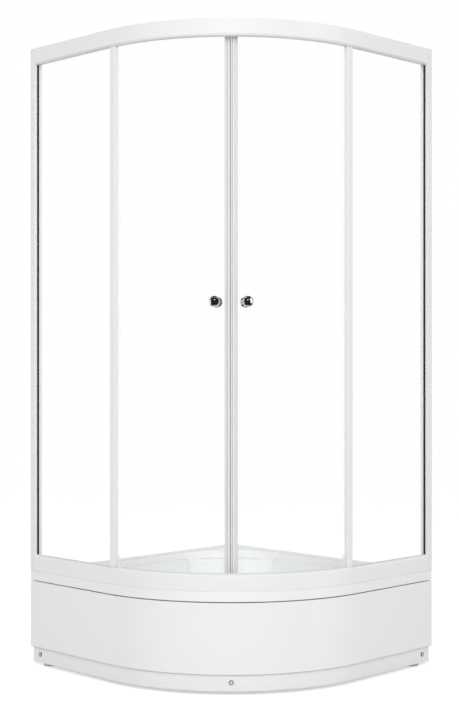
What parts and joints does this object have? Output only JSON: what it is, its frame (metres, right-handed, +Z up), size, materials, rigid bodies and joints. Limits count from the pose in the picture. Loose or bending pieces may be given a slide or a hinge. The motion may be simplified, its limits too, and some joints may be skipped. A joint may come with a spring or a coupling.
{
  "type": "corner shower enclosure",
  "caption": "Quadrant corner shower enclosure: deep white tray with curved apron, white-coated surround, fixed side panes and curved glass doors that roll inside the rails.",
  "frame": {"origin": "on the floor under the middle of the square that the two wall sides span", "axes": "+Z up; the room's corner is at -X +Y, its walls lie along the planes x = -0.45 and y = +0.45, and the curved front with the doors faces +X -Y"},
  "size_m": [0.9, 0.9, 1.95],
  "materials": {
    "acrylic_white": "moulded glossy acrylic",
    "coated_white": "white powder coat on aluminium, semi-gloss",
    "clear_glass": "clear toughened glass with a faint green edge",
    "gasket_dark": "dark grey soft rubber",
    "seal_clear": "translucent soft seal",
    "edge_vinyl": "clear flexible vinyl",
    "magnet_grey": "magnetic rubber strip",
    "knob_chrome": "polished chrome",
    "washer_soft": "soft clear washer",
    "bright_steel": "zinc-plated steel",
    "frame_steel": "grey painted square tube",
    "foot_plastic": "black moulded plastic",
    "wheel_nylon": "white nylon",
    "base_board": "sealed chipboard",
    "trap_plastic": "white moulded plastic",
    "connector_plastic": "grey moulded nylon"
  },
  "bodies": {
    "frame": {"tray_shell": "acrylic_white", "tray_base_board": "base_board", "support_frame": "frame_steel", "foot_studs": "bright_steel", "foot_lock_nuts": "bright_steel", "foot_pads": "foot_plastic", "apron_panel": "acrylic_white", "apron_brackets": "bright_steel", "apron_clips": "connector_plastic", "apron_screws": "knob_chrome", "apron_screw_cups": "knob_chrome", "drain_flange": "knob_chrome", "drain_gasket": "gasket_dark", "drain_nut": "trap_plastic", "drain_trap": "trap_plastic", "top_rail": "coated_white", "bottom_rail": "coated_white", "door_stops": "gasket_dark", "stile_screws": "knob_chrome", "rail_corner_blocks": "connector_plastic", "rail_corner_screws": "bright_steel", "post_connectors": "connector_plastic", "wall_channel_right": "coated_white", "wall_channel_left": "coated_white", "stile_right": "coated_white", "stile_left": "coated_white", "glass_gasket_right": "gasket_dark", "glass_gasket_left": "gasket_dark", "fixed_glass_right": "clear_glass", "fixed_glass_left": "clear_glass", "post_right": "coated_white", "post_left": "coated_white"},
    "drain_cover": {"drain_cover": "knob_chrome"},
    "door_right": {"door_glass_right": "clear_glass", "magnet_profile_right": "seal_clear", "magnet_strip_right": "magnet_grey", "edge_seal_right": "edge_vinyl", "knob_outer_right": "knob_chrome", "knob_inner_right": "knob_chrome", "knob_stud_right": "bright_steel", "knob_washers_right": "washer_soft", "roller_axles_right": "bright_steel"},
    "top_post_wheel_right": {"top_post_wheel_right": "wheel_nylon"},
    "top_centre_wheel_right": {"top_centre_wheel_right": "wheel_nylon"},
    "bottom_post_wheel_right": {"bottom_post_wheel_right": "wheel_nylon"},
    "bottom_centre_wheel_right": {"bottom_centre_wheel_right": "wheel_nylon"},
    "door_left": {"door_glass_left": "clear_glass", "magnet_profile_left": "seal_clear", "magnet_strip_left": "magnet_grey", "edge_seal_left": "edge_vinyl", "knob_outer_left": "knob_chrome", "knob_inner_left": "knob_chrome", "knob_stud_left": "bright_steel", "knob_washers_left": "washer_soft", "roller_axles_left": "bright_steel"},
    "top_post_wheel_left": {"top_post_wheel_left": "wheel_nylon"},
    "top_centre_wheel_left": {"top_centre_wheel_left": "wheel_nylon"},
    "bottom_post_wheel_left": {"bottom_post_wheel_left": "wheel_nylon"},
    "bottom_centre_wheel_left": {"bottom_centre_wheel_left": "wheel_nylon"}
  },
  "joints": [
    {"name": "drain_cover_lift", "type": "slide", "parent": "frame", "child": "drain_cover", "axis": [0, 0, 1], "range_m": [0, 0.06]},
    {"name": "door_right_slide", "type": "hinge", "parent": "frame", "child": "door_right", "pos_m": [-0.12601, 0.09672, 1.125], "axis": [0, 0, 1], "range_deg": [0, 24.61]},
    {"name": "top_post_wheel_right_spin", "type": "hinge", "parent": "door_right", "child": "top_post_wheel_right", "pos_m": [0.39919, -0.0574, 1.9243], "axis": [0.9613, -0.2756, 0], "continuous": true},
    {"name": "top_centre_wheel_right_spin", "type": "hinge", "parent": "door_right", "child": "top_centre_wheel_right", "pos_m": [0.29906, -0.24375, 1.9243], "axis": [0.7604, -0.6494, 0], "continuous": true},
    {"name": "bottom_post_wheel_right_spin", "type": "hinge", "parent": "door_right", "child": "bottom_post_wheel_right", "pos_m": [0.39919, -0.0574, 0.3257], "axis": [0.9613, -0.2756, 0], "continuous": true},
    {"name": "bottom_centre_wheel_right_spin", "type": "hinge", "parent": "door_right", "child": "bottom_centre_wheel_right", "pos_m": [0.29906, -0.24375, 0.3257], "axis": [0.7604, -0.6494, 0], "continuous": true},
    {"name": "door_left_slide", "type": "hinge", "parent": "frame", "child": "door_left", "pos_m": [-0.09672, 0.12601, 1.125], "axis": [0, 0, 1], "range_deg": [-24.61, 0]},
    {"name": "top_post_wheel_left_spin", "type": "hinge", "parent": "door_left", "child": "top_post_wheel_left", "pos_m": [0.0574, -0.39919, 1.9243], "axis": [0.2756, -0.9613, 0], "continuous": true},
    {"name": "top_centre_wheel_left_spin", "type": "hinge", "parent": "door_left", "child": "top_centre_wheel_left", "pos_m": [0.24375, -0.29906, 1.9243], "axis": [0.6494, -0.7604, 0], "continuous": true},
    {"name": "bottom_post_wheel_left_spin", "type": "hinge", "parent": "door_left", "child": "bottom_post_wheel_left", "pos_m": [0.0574, -0.39919, 0.3257], "axis": [0.2756, -0.9613, 0], "continuous": true},
    {"name": "bottom_centre_wheel_left_spin", "type": "hinge", "parent": "door_left", "child": "bottom_centre_wheel_left", "pos_m": [0.24375, -0.29906, 0.3257], "axis": [0.6494, -0.7604, 0], "continuous": true}
  ],
  "couplings": [
    {"joint": "top_post_wheel_right_spin", "follows": "door_right_slide", "ratio": -54.735},
    {"joint": "top_centre_wheel_right_spin", "follows": "door_right_slide", "ratio": -54.462},
    {"joint": "bottom_post_wheel_right_spin", "follows": "door_right_slide", "ratio": 54.735},
    {"joint": "bottom_centre_wheel_right_spin", "follows": "door_right_slide", "ratio": 54.462},
    {"joint": "top_post_wheel_left_spin", "follows": "door_left_slide", "ratio": -54.735},
    {"joint": "top_centre_wheel_left_spin", "follows": "door_left_slide", "ratio": -54.462},
    {"joint": "bottom_post_wheel_left_spin", "follows": "door_left_slide", "ratio": 54.735},
    {"joint": "bottom_centre_wheel_left_spin", "follows": "door_left_slide", "ratio": 54.462}
  ]
}
